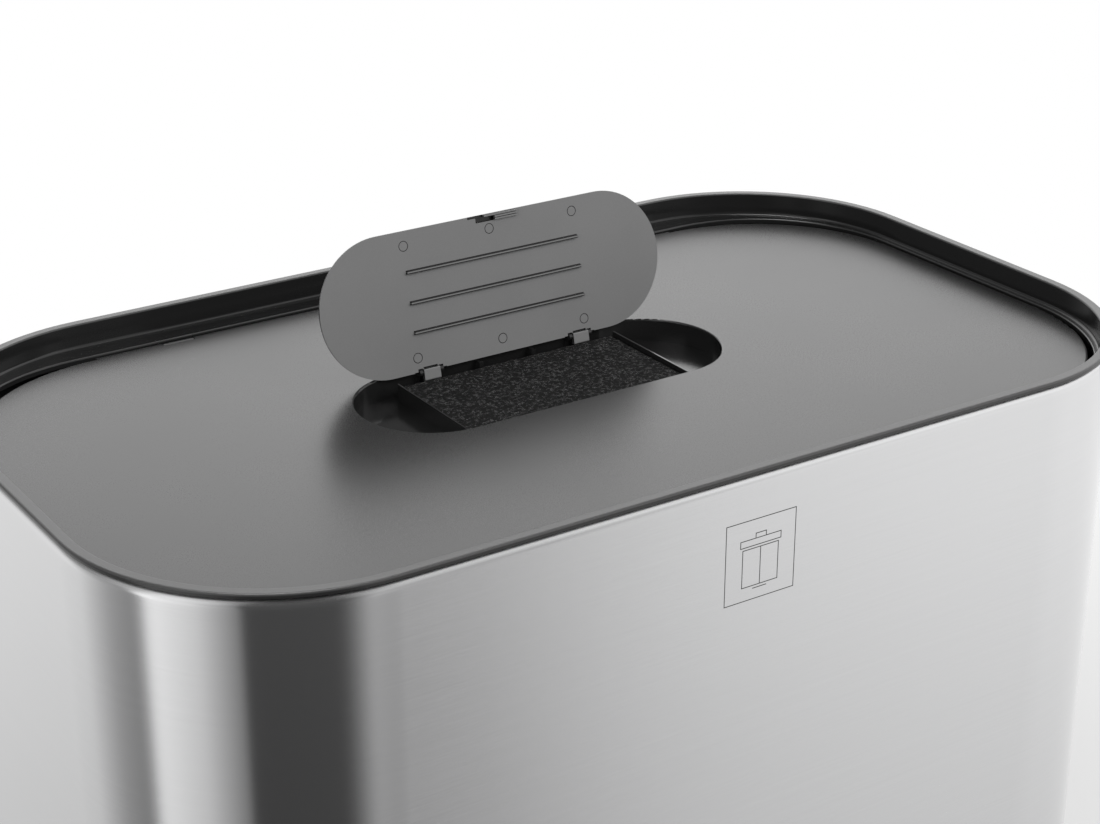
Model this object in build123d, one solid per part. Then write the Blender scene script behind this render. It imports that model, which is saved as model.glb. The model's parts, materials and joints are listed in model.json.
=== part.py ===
from build123d import *
from math import asin, cos, degrees, radians, sin
import os

# Dual compartment pedal bin, in millimetres.
# While it is built, +Z is up from the floor, X runs along the front, -Y is the pedal side
# and x = y = 0 is the middle of the top frame. At the end the whole bin is moved along Y,
# so that the origin is the bottom centre of its box.

# Overall sizes
body_width = 506.7
body_depth = 300.0
body_height = 600.0
body_corner = 92.2
joint_gap = 0.3
slide_gap = 0.08
fit_gap = 0.05
press_gap = 0.02
cut_over = 1.0
weld = 0.5

# Steel shell
shell_wall = 0.8
shell_curl_radius = 4.0
shell_curl_reach = 2.2
shell_top_gap = 0.2
shell_seam_width = 0.6
shell_seam_depth = 0.25

# Base, feet and deck
foot_height = 4.0
foot_radius = 15.0
foot_stud_radius = 3.0
foot_stud_height = 2.0
foot_round = 1.0
foot_x = 195.0
foot_y = 100.0
base_plate = 3.0
plinth_top = 24.0
plinth_wall = 4.0
ring_wall = 2.5
ring_top = 60.0
mouth_depth = 12.0
deck_plate = 3.0
deck_notch_gap = 2.0
deck_rib_gap = 1.0
deck_rib_height = 5.0
deck_rib_wall = 1.5
pillar_radius = 6.0
pillar_x = 150.0
pillar_y = 70.0
base_screw_radius = 2.0
base_screw_head_radius = 4.0
base_screw_head = 2.4
base_screw_cover = 1.0

# Collar at the top
collar_lip = 1.9
collar_lip_round = 1.3
collar_wall_outset = 2.9
collar_wall_inset = 5.3
collar_drop = 11.6
collar_foot_round = 1.5
collar_edge_round = 0.8
collar_skirt = 38.0
flange_plate = 2.5
opening_half_width = 245.0
opening_front = -141.0
opening_back = 132.0
opening_front_corner = 83.0
opening_back_corner = 75.0
rest_tab_x = 150.0
rest_tab_width = 14.0
rest_tab_plate = 2.4
rest_tab_reach = 2.9
bumper_height = 1.3
bumper_width = 10.0
bumper_depth = 4.0
bumper_edge = 0.5

# Lid
lid_half_width = 242.5
lid_front = -138.5
lid_corner = 80.5
lid_plate = 2.5
lid_rim_wall = 2.0
lid_depth = 17.4
lid_edge_round = 1.2
liner_plate = 2.0
liner_rim = 5.0
liner_rim_wall = 1.8
liner_screw_radius = 1.4
liner_screw_head_radius = 3.2
liner_screw_head = 1.2
liner_screw_length = 10.0
liner_screw_spare = 1.0
liner_boss_radius = 4.0
liner_boss_spots = [(205, -95), (205, 55), (70, -110)]

# Lid hinge
hinge_y = 127.8
barrel_radius = 3.5
barrel_half_length = 160.0
barrel_gap = 0.4
ear_x = 120.0
ear_width = 15.0
ear_radius = 3.4
ear_side_gap = 0.5
ear_web_drop = 12.0
hinge_pin_radius = 1.5
hinge_pin_length = 44.0

# Filter well in the lid
well_length = 182.3
well_width = 69.2
well_y = 3.6
well_wall = 1.8
well_edge_round = 0.8
pocket_depth = 10.5
pad_pocket_depth = 14.5
divider_half_span = 58.1
divider_wall = 0.8
divider_below_lid = 2.15
divider_back_gap = 6.2
pad_below_divider = 1.5
pad_front_gap = 0.6
pad_back_gap = 5.3
pad_corner_round = 1.5
peg_x = [-13.2, 15.0]
peg_width = 2.0
peg_reach = 4.0
peg_below_divider = 0.5
vent_width = 3.0
vent_length = 20.0
vent_pitch = 12.0
vent_columns = 9
vent_rows_y = [-13.0, 15.0]

# Filter flap
flap_end_gap = 1.15
flap_front_gap = 2.3
flap_back_gap = 2.7
flap_plate = 2.0
flap_edge_round = 1.6
flap_open_angle = 102.4
flap_pivot_past_edge = 0.4
flap_pivot_below_lid = 1.5
flap_rib_distances = [18.2, 31.7, 45.6]
flap_rib_length = 91.0
flap_rib_width = 1.4
flap_rib_height = 1.3
flap_rib_x = 0.5
flap_relief_gap = 0.5
flap_mark_radius = 2.4
flap_mark_width = 0.35
flap_mark_depth = 0.15
flap_mark_spots = [(-44.7, 57.5), (0.0, 57.4), (-44.8, 6.7), (0.0, 6.6), (44.8, 6.7),
                   (44.7, 57.5)]
clip_x = [-39.0, 41.35]
clip_width = 8.3
clip_past_edge = 4.1
clip_on_plate = 1.3
clip_height = 1.3
clip_top_drop = 0.4
clip_core_slot = 0.8
clip_core_side = 0.5
clip_round = 0.6
clip_notch_side = 0.4
clip_notch_back = 2.8
clip_notch_front = 3.0
clip_notch_below = 2.2
clip_notch_wall = 2.4
flap_pin_radius = 0.8
lug_width = 1.6
lug_gap = 0.35
latch_edge_recess = [-10.8, -2.6]
latch_edge_recess_sunk = 0.9
latch_well = [-6.6, 3.0]
latch_well_reach = [1.1, 3.4]
latch_well_sunk = 1.5
latch_tongue_end = 15.2
latch_ridge_count = 3
latch_ridge_inset = 0.3
latch_ridge_pitch = 1.05
latch_ridge_width = 0.7
latch_ridge_height = 1.2

# Crank that lifts the lid
crank_radius = 30.0
crank_rest_angle = 40.0
crank_pin_radius = 3.0
crank_cheek = 3.0
crank_cheek_radius = 6.0
crank_pin_overhang = 1.0
yoke_half_thickness = 4.8
yoke_side_gap = 0.5
yoke_half_height = 7.5
yoke_end_wall = 3.8
yoke_slot_slack_y = 0.4
yoke_slot_slack_z = 0.9
yoke_stem_radius = 5.5
yoke_stem_length = 12.0
yoke_stem_roof = 1.0
yoke_round = 3.0
liner_notch_half_width = 12.0
liner_notch_front = 85.0
liner_notch_back = 124.5

# Lift rod, its foot and its guides
rod_radius = 3.0
rod_foot_radius = 6.0
rod_foot_length = 14.0
rod_foot_gap = 0.45
rod_foot_floor = 2.0
rod_deck_hole = 8.0
guide_half_width = 8.0
guide_height = 10.0
guide_round = 3.0
guide_low_z = 150.0
guide_below_cover = 50.0

# Soft close damper
damper_x = 26.0
damper_radius = 9.0
damper_wall = 2.0
damper_cap = 4.0
damper_below_cover = 130.0
damper_length = 100.0
damper_rod_radius = 2.5
damper_piston_height = 7.0
damper_piston_rise = 3.0
damper_arm_below_damper = 60.0
damper_arm_height = 8.0
damper_arm_half_depth = 6.5
damper_arm_end = 4.0
damper_arm_round = 3.0
damper_rod_below_arm = 1.0
damper_clip_rises = [15.0, 75.0]
damper_clip_height = 10.0
damper_clip_wall = 2.4

# Cover that hides the lift mechanism
cover_front = 86.0
cover_wall = 2.0
cover_below_liner = 39.0
cover_side_inset = 2.5
cover_ledge_hole = 8.0

# Pedal
pedal_pivot_y = -60.0
pedal_pivot_z = 34.0
lever_half_width = 11.0
lever_thickness = 4.0
lever_front_reach = 134.0
lever_hub_radius = 8.0
lever_hub_half_width = 17.0
axle_radius = 4.0
axle_half_length = 28.0
bearing_inner = 19.0
bearing_wall = 6.0
bearing_half_depth = 11.0
bush_radius = 7.0
bush_side_gap = 0.1
axle_clip_radius = 7.0
axle_clip_thickness = 1.2
pad_half_width = 36.0
pad_front_reach = 140.0
pad_back_reach = 96.0
pad_thickness = 6.0
pad_corner = 9.0
pad_round = 1.6
pad_grip_count = 4
pad_grip_length = 54.0
pad_grip_width = 3.0
pad_grip_depth = 1.4
pad_grip_proud = 0.7
pad_screw_radius = 1.9
pad_screw_head_radius = 3.4
pad_screw_head = 1.8
pad_screw_spare = 0.3
pad_screw_y = [-129.0, -107.0]

# Pedal opening and its surround
pedal_slot_half_width = 43.0
pedal_slot_bottom = 12.0
pedal_slot_top = 63.0
pedal_slot_round = 8.0
surround_wall = 2.7
surround_border = 7.0
surround_proud = 2.0
surround_flange = 1.9
surround_depth = 7.0
surround_top_round = 14.0

# Buckets
bucket_inner_x = 5.0
bucket_outer_x = 241.0
bucket_front = -135.0
bucket_back = 83.0
bucket_outer_corner = 76.0
bucket_inner_corner = 18.0
bucket_rim = 5.0
bucket_rim_height = 3.0
bucket_wall = 2.0
bucket_floor = 2.5
bucket_draft = 7.0
bucket_below_liner = 45.0
bucket_seat_gap = 0.3

# Bucket handles
handle_pivot_y = -26.0
handle_pivot_rise = 5.0
handle_inset = 3.3
handle_width = 5.0
handle_height = 5.0
handle_rim_gap = 0.4
handle_eye_radius = 4.6
handle_ear_plate = 2.6
handle_ear_half_depth = 6.0
handle_ear_height = 10.0
handle_stub_radius = 2.0
grip_length = 96.0
grip_wall = 2.3
grip_roof = 2.8
grip_round = 2.0

# Heights and places worked out from the sizes above
shell_top = body_height - collar_lip - shell_top_gap
lid_top = body_height - collar_drop
lid_rim_z = lid_top - lid_depth
liner_z = lid_rim_z - liner_plate
hinge_z = lid_top - barrel_radius
deck_top = ring_top + deck_plate
plate_top = foot_height + base_plate
well_back = well_y + well_width / 2
pad_back = well_back - pad_back_gap
flap_length = well_length - 2 * flap_end_gap
flap_width = well_width - flap_front_gap - flap_back_gap
flap_hinge_edge_y = well_back - flap_back_gap
flap_centre_y = flap_hinge_edge_y - flap_width / 2
flap_pivot_y = flap_hinge_edge_y + flap_pivot_past_edge
flap_pivot_z = lid_top - flap_pivot_below_lid
flap_pin_length = clip_width + 2 * (lug_gap + lug_width - weld)
crank_y = hinge_y - crank_radius * cos(radians(crank_rest_angle))
crank_z = hinge_z - crank_radius * sin(radians(crank_rest_angle))
rod_y = hinge_y - crank_radius * (1 + cos(radians(crank_rest_angle))) / 2
yoke_slot_half = crank_radius * (1 - cos(radians(crank_rest_angle))) / 2 + crank_pin_radius
yoke_slot_half += yoke_slot_slack_y
lift_travel = 2 * crank_radius * sin(radians(crank_rest_angle))
lever_rear_reach = rod_y - pedal_pivot_y
lever_swing = degrees(asin(lift_travel / (2 * lever_rear_reach)))
cover_back = cover_front + cover_wall
cover_top = liner_z - cover_below_liner
bucket_top = liner_z - bucket_below_liner
damper_bottom = cover_top - damper_below_cover
damper_arm_z = damper_bottom - damper_arm_below_damper

nodes = {}


def outline(inset=0.0):
    """Plan of the body, moved inwards by inset."""
    return RectangleRounded(body_width - 2 * inset, body_depth - 2 * inset, body_corner - inset)


def rounded_plan(half_width, front, back, corner, inset=0.0):
    """Plan of a rounded rectangle that is centred on X and runs from front to back."""
    width = 2 * (half_width - inset)
    depth = back - front - 2 * inset
    return Pos(0, (front + back) / 2) * RectangleRounded(width, depth, corner - inset)


def stadium(length, width, y, x=0.0):
    """Plan of a slot with round ends along X."""
    return Pos(x, y) * SlotOverall(length, width)


def prism(plan, low, high):
    """Solid that stands on a plan between two heights."""
    return extrude(Pos(0, 0, low) * plan, high - low)


def block(x, y, z):
    """Box between pairs of limits along each axis."""
    size = [limits[1] - limits[0] for limits in (x, y, z)]
    middle = [(limits[1] + limits[0]) / 2 for limits in (x, y, z)]
    return Pos(*middle) * Box(*size)


def bar_x(x, y, z, radius):
    """Round bar along X between the two values in x."""
    return Pos((x[0] + x[1]) / 2, y, z) * Rot(0, 90, 0) * Cylinder(radius, x[1] - x[0])


def bar_z(x, y, z, radius):
    """Round bar along Z between the two values in z."""
    return Pos(x, y, (z[0] + z[1]) / 2) * Cylinder(radius, z[1] - z[0])


def round_top(solid, radius):
    """Rounds the outer edge of the highest face."""
    return fillet(solid.faces().sort_by(Axis.Z)[-1].outer_wire().edges(), radius)


def round_bottom(solid, radius):
    """Rounds the outer edge of the lowest face."""
    return fillet(solid.faces().sort_by(Axis.Z)[0].outer_wire().edges(), radius)


def both_sides(solid):
    """The solid and its mirror image across the middle plane."""
    return [solid, mirror(solid, about=Plane.YZ)]


def span(middle, half):
    """Pair of limits on both sides of a middle value."""
    return (middle - half, middle + half)


def gateway(half_width, bottom, top, corner, y):
    """Block along Y whose two upper corners are round."""
    solid = block(span(0, half_width), y, (bottom, top))
    return fillet(solid.edges().filter_by(Axis.Y).sort_by(Axis.Z)[-2:], corner)


# Base with its feet and screws, and the ring between the base and the deck
def build_base():
    base = round_bottom(prism(outline(), foot_height, plinth_top), plinth_wall / 2)
    base -= prism(outline(plinth_wall), plate_top, plinth_top + cut_over)
    mouth_y = (-body_depth / 2 - cut_over, -body_depth / 2 + mouth_depth)
    base -= block(span(0, pedal_slot_half_width), mouth_y,
                  (pedal_slot_bottom, plinth_top + cut_over))
    bearing_top = pedal_pivot_z + axle_radius + bearing_wall
    for cheek in both_sides(block((bearing_inner, bearing_inner + bearing_wall),
                                  span(pedal_pivot_y, bearing_half_depth),
                                  (plate_top - weld, bearing_top))):
        base += cheek
    base -= bar_x(span(0, bearing_inner + 2 * bearing_wall), pedal_pivot_y, pedal_pivot_z,
                  axle_radius + fit_gap)
    screws = []
    for x in (-pillar_x, pillar_x):
        for y in (-pillar_y, pillar_y):
            base += bar_z(x, y, (plate_top - weld, ring_top), pillar_radius)
            base -= bar_z(x, y, (foot_height - cut_over, ring_top + cut_over),
                          base_screw_radius + fit_gap)
            base -= bar_z(x, y, (foot_height - cut_over, foot_height + base_screw_head
                                 + joint_gap), base_screw_head_radius + joint_gap)
            head_low = foot_height + joint_gap
            screw = bar_z(x, y, (head_low, head_low + base_screw_head), base_screw_head_radius)
            screw += bar_z(x, y, (head_low, deck_top - base_screw_cover), base_screw_radius)
            screws.append(screw)
    feet = []
    for x in (-foot_x, foot_x):
        for y in (-foot_y, foot_y):
            stud_top = foot_height + foot_stud_height
            base -= bar_z(x, y, (foot_height - cut_over, stud_top), foot_stud_radius + fit_gap)
            foot = round_bottom(bar_z(x, y, (0, foot_height), foot_radius), foot_round)
            foot += bar_z(x, y, (foot_height - weld, stud_top - fit_gap), foot_stud_radius)
            feet.append(foot)
    ring_outset = shell_wall + joint_gap
    ring = prism(outline(ring_outset), plinth_top, ring_top)
    ring -= prism(outline(ring_outset + ring_wall), plinth_top - cut_over, ring_top + cut_over)
    mouth_half = pedal_slot_half_width + surround_wall + 2 * joint_gap
    ring -= block(span(0, mouth_half), mouth_y, (plinth_top - cut_over, ring_top + cut_over))
    nodes["base_pan"] = [base]
    nodes["base_screws"] = screws
    nodes["base_feet"] = feet
    nodes["base_ring"] = [ring]


# Brushed steel shell, curled inwards along its top edge, with the pedal opening and a seam
def build_shell():
    shell = round_top(prism(outline(), plinth_top, shell_top), shell_curl_radius)
    hollow = prism(outline(shell_wall), plinth_top - cut_over, shell_top - shell_wall)
    shell -= round_top(hollow, shell_curl_radius - shell_wall)
    shell -= prism(outline(shell_curl_reach), shell_top - shell_curl_radius,
                   shell_top + cut_over)
    opening_half = pedal_slot_half_width + surround_wall + joint_gap
    opening_top = pedal_slot_top + surround_wall + joint_gap
    shell -= gateway(opening_half, plinth_top - cut_over, opening_top,
                     pedal_slot_round + surround_wall + joint_gap,
                     span(-body_depth / 2, mouth_depth))
    shell -= block(span(0, shell_seam_width / 2),
                   (body_depth / 2 - shell_seam_depth, body_depth / 2 + cut_over),
                   (plinth_top - cut_over, shell_top - shell_curl_radius))
    nodes["body_shell"] = [shell]


# Plastic surround of the pedal opening
def build_surround():
    front = -body_depth / 2
    collar_half = pedal_slot_half_width + surround_wall
    border_half = pedal_slot_half_width + surround_border
    flange_low = plinth_top + joint_gap
    plate = gateway(border_half, flange_low, pedal_slot_top + surround_border,
                    surround_top_round, (front - surround_proud, front - surround_proud
                                         + surround_flange))
    collar = gateway(collar_half, flange_low, pedal_slot_top + surround_wall,
                     pedal_slot_round + surround_wall,
                     (front - surround_proud, front + surround_depth))
    surround = plate + collar
    surround -= gateway(pedal_slot_half_width, plinth_top - cut_over, pedal_slot_top,
                        pedal_slot_round, (front - surround_proud - cut_over,
                                           front + surround_depth + cut_over))
    nodes["pedal_surround"] = [surround]


# Deck under the buckets, with a low rib around each bucket's foot
def build_deck():
    deck = prism(outline(shell_wall + 2 * joint_gap), ring_top, deck_top)
    rib_inset = bucket_rim + bucket_draft - deck_rib_gap
    for rib in both_sides(prism(bucket_plan(rib_inset - deck_rib_wall), deck_top - weld,
                                deck_top + deck_rib_height)
                          - prism(bucket_plan(rib_inset), deck_top,
                                  deck_top + deck_rib_height + cut_over)):
        deck += rib
    deck -= bar_z(0, rod_y, (ring_top - cut_over, deck_top + cut_over), rod_deck_hole)
    for x in (-pillar_x, pillar_x):
        for y in (-pillar_y, pillar_y):
            deck -= bar_z(x, y, (ring_top - cut_over, deck_top - base_screw_cover + fit_gap),
                          base_screw_radius + fit_gap)
    deck -= block(span(0, pedal_slot_half_width + 2 * surround_wall),
                  (-body_depth / 2 - cut_over, -body_depth / 2 + surround_depth
                   + deck_notch_gap), (ring_top - cut_over, deck_top + cut_over))
    nodes["bucket_deck"] = [deck]


# Collar frame: lip, inner wall, flange around the lid, hinge ears and rest tabs
def build_collar():
    skirt_low = body_height - collar_skirt
    lip = round_top(prism(outline(), body_height - collar_lip, body_height), collar_lip_round)
    frame = lip + prism(outline(collar_wall_outset), skirt_low, body_height - collar_lip / 2)
    recess = prism(outline(collar_wall_inset), lid_top, body_height + cut_over)
    frame -= round_bottom(recess, collar_foot_round)
    frame -= prism(outline(collar_wall_inset), skirt_low - cut_over, lid_top - flange_plate)
    opening = Pos(0, (opening_front + opening_back) / 2) * Rectangle(
        2 * opening_half_width, opening_back - opening_front)
    opening = fillet(opening.vertices().group_by(Axis.Y)[0], opening_front_corner)
    opening = fillet(opening.vertices().group_by(Axis.Y)[-1], opening_back_corner)
    frame -= prism(opening, skirt_low - cut_over, lid_top + cut_over)
    lip_face = frame.faces().filter_by(Plane.XY).sort_by(Axis.Z)[-1]
    frame = fillet(lip_face.inner_wires()[0].edges(), collar_edge_round)
    flange_faces = frame.faces().filter_by(Plane.XY).filter_by_position(
        Axis.Z, lid_top - fit_gap, lid_top + fit_gap)
    frame = fillet(flange_faces.sort_by(SortBy.AREA)[-1].inner_wires()[0].edges(),
                   collar_edge_round)
    wall_y = body_depth / 2 - collar_wall_inset
    ear = bar_x(span(ear_x, ear_width / 2), hinge_y, hinge_z, ear_radius)
    ear += block(span(ear_x, ear_width / 2), (hinge_y + ear_side_gap, wall_y + weld),
                 (hinge_z - ear_web_drop, lid_top - flange_plate + weld))
    ear -= bar_x(span(ear_x, ear_width), hinge_y, hinge_z, hinge_pin_radius + fit_gap)
    for copy in both_sides(ear):
        frame += copy
    bumpers = []
    tab_top = liner_z - joint_gap - bumper_height
    tab_back = lid_front + rest_tab_reach
    tab = block(span(rest_tab_x, rest_tab_width / 2), (-wall_y - weld, tab_back),
                (tab_top - rest_tab_plate, tab_top))
    bumper_back = tab_back - bumper_edge
    bumper = block(span(rest_tab_x, bumper_width / 2), (bumper_back - bumper_depth, bumper_back),
                   (tab_top, tab_top + bumper_height))
    for copy in both_sides(tab):
        frame += copy
    for copy in both_sides(bumper):
        bumpers.append(copy)
    nodes["top_frame"] = [frame]
    nodes["lid_bumpers"] = bumpers


def vents():
    """Slots under the filter pad."""
    slots = []
    for column in range(vent_columns):
        x = (column - (vent_columns - 1) / 2) * vent_pitch
        for y in vent_rows_y:
            slots.append(block(span(x, vent_width / 2), span(y, vent_length / 2),
                               (liner_z - cut_over, lid_top - pad_pocket_depth + cut_over)))
    return slots


# Lid panel with its hinge barrel, filter well and crank cheeks
def build_lid():
    plate_low = lid_top - lid_plate
    panel = round_top(prism(rounded_plan(lid_half_width, lid_front, hinge_y, lid_corner),
                            lid_rim_z, lid_top), lid_edge_round)
    panel -= prism(rounded_plan(lid_half_width, lid_front, hinge_y, lid_corner, lid_rim_wall),
                   lid_rim_z - cut_over, plate_low)
    panel += block(span(0, barrel_half_length), (hinge_y - barrel_radius, hinge_y),
                   (hinge_z, lid_top))
    panel += bar_x(span(0, barrel_half_length), hinge_y, hinge_z, barrel_radius)
    opening = stadium(well_length, well_width, well_y)
    inner_half = divider_half_span - divider_wall / 2
    outer_half = divider_half_span + divider_wall / 2
    pocket_z = lid_top - pocket_depth
    pad_z = lid_top - pad_pocket_depth
    divider_z = lid_top - divider_below_lid
    panel += prism(stadium(well_length + 2 * well_wall, well_width + 2 * well_wall, well_y),
                   pocket_z - well_wall, plate_low + weld)
    panel += block(span(0, outer_half + well_wall), span(well_y, well_width / 2 + well_wall),
                   (pad_z - well_wall, plate_low + weld))
    panel -= prism(opening, divider_z, lid_top + cut_over)
    top_face = panel.faces().filter_by(Plane.XY).sort_by(Axis.Z)[-1]
    panel = fillet(top_face.inner_wires()[0].edges(), well_edge_round)
    centre = block(span(0, inner_half), span(well_y, well_width), (pad_z, divider_z + cut_over))
    panel -= prism(opening, pad_z, divider_z + weld) & centre
    for side in both_sides(block((outer_half, well_length), span(well_y, well_width),
                                 (pocket_z, divider_z + cut_over))):
        panel -= prism(opening, pocket_z, divider_z + weld) & side
    behind = block(span(0, outer_half + weld), (well_back - divider_back_gap, well_back),
                   (pocket_z, divider_z + cut_over))
    panel -= prism(opening, pocket_z, divider_z + weld) & behind
    for x in peg_x:
        panel += block(span(x, peg_width / 2), (well_back - peg_reach, well_back + weld),
                       (pad_z - weld, divider_z - peg_below_divider))
    for slot in vents():
        panel -= slot
    notch_half = clip_width / 2 + clip_notch_side
    notch_back = well_back + clip_notch_back
    notch_low = flap_pivot_z - clip_past_edge - clip_notch_below
    for x in clip_x:
        panel += block(span(x, notch_half + clip_notch_wall),
                       (well_back - weld, notch_back + well_wall),
                       (notch_low - well_wall, plate_low + weld))
        panel -= block(span(x, notch_half), (well_back - clip_notch_front, notch_back),
                       (notch_low, lid_top + cut_over))
        for direction in (-1, 1):
            lug_x = x + direction * (clip_width / 2 + lug_gap + lug_width / 2)
            panel += bar_x(span(lug_x, lug_width / 2), flap_pivot_y, flap_pivot_z,
                           flap_pivot_below_lid)
            panel += block(span(lug_x, lug_width / 2), (flap_pivot_y, well_back + weld),
                           span(flap_pivot_z, flap_pivot_below_lid))
        panel -= bar_x(span(x, flap_pin_length / 2 + joint_gap), flap_pivot_y, flap_pivot_z,
                       flap_pin_radius + fit_gap)
    cut_half = ear_width / 2 + ear_side_gap
    for x in (-ear_x, ear_x):
        panel -= bar_x(span(x, cut_half), hinge_y, hinge_z, barrel_radius + barrel_gap)
        panel -= bar_x(span(x, hinge_pin_length / 2 + joint_gap), hinge_y, hinge_z,
                       hinge_pin_radius + press_gap)
    cheek_in = yoke_half_thickness + yoke_side_gap
    cheek = block((cheek_in, cheek_in + crank_cheek), span(crank_y, crank_cheek_radius),
                  (crank_z, plate_low + weld))
    cheek += bar_x((cheek_in, cheek_in + crank_cheek), crank_y, crank_z, crank_cheek_radius)
    for copy in both_sides(cheek):
        panel += copy
    panel -= bar_x(span(0, cheek_in + crank_cheek + cut_over), crank_y, crank_z,
                   crank_pin_radius + press_gap)
    liner = build_liner()
    screws = []
    for x, y in liner_boss_spots:
        for side in (-1, 1):
            spot = x * side
            panel += bar_z(spot, y, (lid_rim_z, plate_low + weld), liner_boss_radius)
            panel -= bar_z(spot, y, (lid_rim_z - cut_over, lid_rim_z + liner_screw_length),
                           liner_screw_radius + fit_gap)
            liner -= bar_z(spot, y, (liner_z - cut_over, lid_rim_z + cut_over),
                           liner_screw_radius + fit_gap)
            screw = bar_z(spot, y, (liner_z - liner_screw_head, liner_z),
                          liner_screw_head_radius)
            screw += bar_z(spot, y, (liner_z - weld, lid_rim_z + liner_screw_length
                                     - liner_screw_spare), liner_screw_radius)
            screws.append(screw)
    nodes["lid_panel"] = [panel]
    nodes["lid_liner"] = [liner]
    nodes["liner_screws"] = screws
    nodes["crank_pin"] = [bar_x(span(0, cheek_in + crank_cheek + crank_pin_overhang), crank_y,
                                crank_z, crank_pin_radius)]
    nodes["lid_hinge_pins"] = [bar_x(span(x, hinge_pin_length / 2), hinge_y, hinge_z,
                                     hinge_pin_radius) for x in (-ear_x, ear_x)]
    nodes["flap_hinge_pins"] = [bar_x(span(x, flap_pin_length / 2), flap_pivot_y, flap_pivot_z,
                                      flap_pin_radius) for x in clip_x]


# Liner that closes the underside of the lid
def build_liner():
    plan = (lid_half_width, lid_front, hinge_y, lid_corner)
    liner = prism(rounded_plan(*plan, lid_rim_wall / 2), liner_z, lid_rim_z)
    rim_inset = lid_rim_wall + joint_gap
    rim = prism(rounded_plan(*plan, rim_inset), lid_rim_z - weld, lid_rim_z + liner_rim)
    rim -= prism(rounded_plan(*plan, rim_inset + liner_rim_wall), lid_rim_z - cut_over,
                 lid_rim_z + liner_rim + cut_over)
    liner += rim
    liner -= block(span(0, liner_notch_half_width), (liner_notch_front, liner_notch_back),
                   (liner_z - cut_over, lid_rim_z + liner_rim + cut_over))
    cut_half = ear_width / 2 + ear_side_gap
    for x in (-ear_x, ear_x):
        liner -= block(span(x, cut_half), (hinge_y - barrel_radius - cut_over,
                                           hinge_y + cut_over), (lid_rim_z, lid_top))
    for slot in vents():
        liner -= slot
    return liner


# Filter pad in the middle of the well
def build_filter_pad():
    pad_top = lid_top - divider_below_lid - pad_below_divider
    half = divider_half_span - divider_wall / 2 - joint_gap
    front = well_y - well_width / 2 + pad_front_gap
    pad = block(span(0, half), (front, pad_back),
                (lid_top - pad_pocket_depth + joint_gap, pad_top))
    pad = fillet(pad.edges().filter_by(Axis.Z), pad_corner_round)
    nodes["filter_pad"] = [pad]


# Filter flap, drawn closed and then turned open about its pins
def build_flap():
    low = lid_top - flap_plate
    flap = prism(stadium(flap_length, flap_width, flap_centre_y), low, lid_top)
    flap = round_top(flap, flap_edge_round)
    free_edge = flap_hinge_edge_y - flap_width
    for distance in flap_rib_distances:
        flap += prism(stadium(flap_rib_length, flap_rib_width, flap_hinge_edge_y - distance,
                              flap_rib_x), low - flap_rib_height, low + weld)
    relief_in = clip_width / 2
    relief_out = relief_in + 2 * lug_gap + lug_width
    relief_y = flap_pivot_y - flap_pivot_below_lid - flap_relief_gap
    for x in clip_x:
        for direction in (-1, 1):
            limits = sorted((x + direction * relief_in, x + direction * relief_out))
            flap -= block(limits, (relief_y, flap_hinge_edge_y + cut_over),
                          (low - cut_over, lid_top + cut_over))
        clip = block(span(x, clip_width / 2), (flap_hinge_edge_y - clip_on_plate,
                                              flap_hinge_edge_y + clip_past_edge),
                     (low - clip_height, lid_top - clip_top_drop))
        flap += fillet(clip.edges().filter_by(Axis.X), clip_round)
        flap -= block(span(x, clip_width / 2 - clip_core_side),
                      (flap_hinge_edge_y - clip_on_plate - clip_core_slot,
                       flap_hinge_edge_y - clip_on_plate),
                      (low - cut_over, low + flap_plate / 2))
        flap -= bar_x(span(x, clip_width), flap_pivot_y, flap_pivot_z,
                      flap_pin_radius + fit_gap)
    well_near, well_far = [free_edge + reach for reach in latch_well_reach]
    flap -= block(latch_edge_recess, (free_edge - cut_over, well_near),
                  (low - cut_over, low + latch_edge_recess_sunk))
    flap -= block(latch_well, (well_near, well_far), (low - cut_over, low + latch_well_sunk))
    for index in range(latch_ridge_count):
        start = latch_edge_recess[1] if index == 0 else latch_well[1]
        y = free_edge + latch_ridge_inset + index * latch_ridge_pitch
        flap += block((start, latch_tongue_end), (y, y + latch_ridge_width),
                      (low - latch_ridge_height, low + fit_gap))
    for x, distance in flap_mark_spots:
        y = flap_hinge_edge_y - distance
        mark = bar_z(x, y, (low - weld, low + flap_mark_depth), flap_mark_radius)
        mark -= bar_z(x, y, (low - cut_over, low + cut_over), flap_mark_radius
                      - flap_mark_width)
        flap -= mark
    pivot = Axis((0, flap_pivot_y, flap_pivot_z), (-1, 0, 0))
    nodes["filter_flap"] = [flap.rotate(pivot, flap_open_angle)]


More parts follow.
